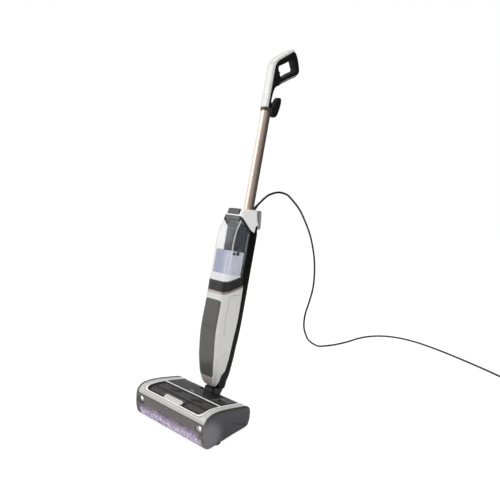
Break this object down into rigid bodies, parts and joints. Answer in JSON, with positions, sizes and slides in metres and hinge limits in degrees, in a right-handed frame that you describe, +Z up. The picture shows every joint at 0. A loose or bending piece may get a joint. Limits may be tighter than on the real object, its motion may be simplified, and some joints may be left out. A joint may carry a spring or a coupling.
{
  "type": "wet dry floor scrubber",
  "caption": "Upright wet dry floor scrubber with a roller head, clear dirty-water tank, reclining neck, loop handle, cord hooks and a coiled mains cord.",
  "frame": {"origin": "middle of the squeegee's foot on the floor, under the head", "axes": "+Z up; -Y to the front of the head; +X to the right as seen from the front"},
  "size_m": [0.894, 1.1942, 1.1245],
  "materials": {
    "black_plastic": "moulded, lightly textured",
    "grey_plastic": "dark semi-gloss",
    "clear_lens": "clear, slightly smoked",
    "white_gloss": "soft gloss white",
    "white_satin": "satin cream white",
    "smoke_window": "smoked transparent, polished",
    "dark_translucent": "dark translucent, mottled",
    "lamp_white": "clear lamp, bright",
    "black_rubber": "matt",
    "bright_steel": "plain bright",
    "lilac_pile": "soft mottled pile",
    "motor_steel": "plated grey",
    "smoke_panel": "smoky grey gloss",
    "rose_trim": "rose champagne, metallic",
    "dark_gloss": "dark gloss",
    "clear_tank": "clear water tank",
    "blue_black_mesh": "dark blue-black",
    "frosted_white": "frosted bluish white",
    "cast_light": "thin sheet",
    "green_board": "lacquered board",
    "champagne_tube": "champagne anodised, bright",
    "black_satin": "satin, soft touch",
    "grey_satin": "satin",
    "silver_trim": "silver, metallic",
    "black_cord": "matt flexible jacket"
  },
  "bodies": {
    "upright": {"lower_shell": "white_gloss", "front_panel": "smoke_panel", "lower_trim": "rose_trim", "upper_trim": "rose_trim", "mid_band": "dark_gloss", "spine": "black_plastic", "shoulder": "white_gloss", "suction_motor": "motor_steel", "pump": "grey_plastic", "control_board": "green_board", "tube": "champagne_tube", "tube_collar": "black_plastic", "handle_shell": "white_gloss", "handle_grip": "black_satin", "handle_trim": "silver_trim", "upper_hook": "black_satin", "cord_gland": "black_rubber", "cord": "black_cord", "cord_coil": "black_cord", "plug": "black_plastic"},
    "roller": {"roller_core": "grey_plastic", "roller_pile": "lilac_pile", "roller_pulley": "black_plastic"},
    "motor_drive": {"motor_pulley": "bright_steel"},
    "wheel_l": {"left_wheel": "black_plastic"},
    "wheel_r": {"right_wheel": "black_plastic"},
    "window": {"brush_window": "smoke_window"},
    "tab": {"release_tab": "white_satin"},
    "pedal": {"deck_pedal": "black_plastic"},
    "neck": {"neck_elbow": "black_plastic"},
    "dirty": {"dirty_tank": "clear_tank", "tank_lid": "black_plastic", "separator": "blue_black_mesh", "filter_housing": "frosted_white", "strainer": "white_satin"},
    "float_body": {"float": "blue_black_mesh"},
    "latch": {"tank_latch": "black_plastic"},
    "clean": {"clean_tank": "black_plastic"},
    "cap": {"clean_cap": "grey_plastic"},
    "fan": {"motor_fan": "cast_light"},
    "power": {"power_button": "grey_satin"},
    "mode": {"mode_button": "grey_satin"},
    "hook": {"lower_hook": "grey_satin"},
    "head": {"chassis": "black_plastic", "side_covers": "grey_plastic", "brush_lens": "clear_lens", "bezel": "white_gloss", "rear_deck": "dark_translucent", "deck_seam": "white_gloss", "headlight_housings": "grey_plastic", "headlight_lamps": "lamp_white", "spray_nozzles": "black_plastic", "squeegee": "black_rubber", "skid_feet": "black_rubber", "suction_duct": "black_plastic", "head_screws": "bright_steel", "brush_motor": "motor_steel", "drive_belt": "black_rubber", "wheel_axles": "bright_steel", "hinge_pin": "bright_steel"}
  },
  "joints": [
    {"name": "steer", "type": "hinge", "parent": "upright", "child": "neck", "pos_m": [0, 0.07241, 0.08403], "axis": [0, 0.2368, 0.9715], "range_deg": [-30, 30]},
    {"name": "recline", "type": "hinge", "parent": "neck", "child": "head", "pos_m": [0, 0.06, 0.05], "axis": [1, 0, 0], "range_deg": [-13.7, 60]},
    {"name": "brush_spin", "type": "hinge", "parent": "head", "child": "roller", "pos_m": [0, -0.062, 0.032], "axis": [1, 0, 0], "continuous": true},
    {"name": "motor_drive_spin", "type": "hinge", "parent": "head", "child": "motor_drive", "pos_m": [-0.138, 0.012, 0.034], "axis": [1, 0, 0], "continuous": true},
    {"name": "wheel_l_spin", "type": "hinge", "parent": "head", "child": "wheel_l", "pos_m": [-0.092, 0.058, 0.017], "axis": [1, 0, 0], "continuous": true},
    {"name": "wheel_r_spin", "type": "hinge", "parent": "head", "child": "wheel_r", "pos_m": [0.092, 0.058, 0.017], "axis": [1, 0, 0], "continuous": true},
    {"name": "window_lift", "type": "slide", "parent": "head", "child": "window", "axis": [0, 0, 1], "range_m": [0, 0.04]},
    {"name": "tab_lift", "type": "hinge", "parent": "window", "child": "tab", "pos_m": [0, -0.0706, 0.0948], "axis": [-1, 0, 0], "range_deg": [0, 12], "stiffness_Nm_per_rad": 0.05},
    {"name": "pedal_press", "type": "slide", "parent": "head", "child": "pedal", "axis": [0, 0, -1], "range_m": [0, 0.003], "stiffness_N_per_m": 900},
    {"name": "dirty_tank_lift", "type": "slide", "parent": "upright", "child": "dirty", "axis": [0, -0.9715, 0.2368], "range_m": [0, 0.12]},
    {"name": "float_rise", "type": "slide", "parent": "dirty", "child": "float_body", "axis": [0, 0.2368, 0.9715], "range_m": [0, 0.012]},
    {"name": "latch_press", "type": "slide", "parent": "upright", "child": "latch", "axis": [0, 0.9715, -0.2368], "range_m": [0, 0.003], "stiffness_N_per_m": 700},
    {"name": "clean_tank_pull", "type": "slide", "parent": "upright", "child": "clean", "axis": [0, 0.9715, -0.2368], "range_m": [0, 0.09]},
    {"name": "cap_turn", "type": "hinge", "parent": "clean", "child": "cap", "pos_m": [0, 0.21082, 0.47024], "axis": [0, 0.9715, -0.2368], "range_deg": [0, 90]},
    {"name": "fan_spin", "type": "hinge", "parent": "upright", "child": "fan", "pos_m": [0, 0.11191, 0.33893], "axis": [0, 0.2368, 0.9715], "continuous": true},
    {"name": "hook_turn", "type": "hinge", "parent": "upright", "child": "hook", "pos_m": [0, 0.24149, 0.57495], "axis": [0, 0.9715, -0.2368], "range_deg": [0, 180]},
    {"name": "power_press", "type": "slide", "parent": "upright", "child": "power", "axis": [0, -0.8805, -0.4741], "range_m": [0, 0.0012], "stiffness_N_per_m": 600},
    {"name": "mode_press", "type": "slide", "parent": "upright", "child": "mode", "axis": [0, -0.8805, -0.4741], "range_m": [0, 0.0012], "stiffness_N_per_m": 600}
  ],
  "couplings": [
    {"joint": "motor_drive_spin", "follows": "brush_spin", "ratio": 2.25}
  ]
}
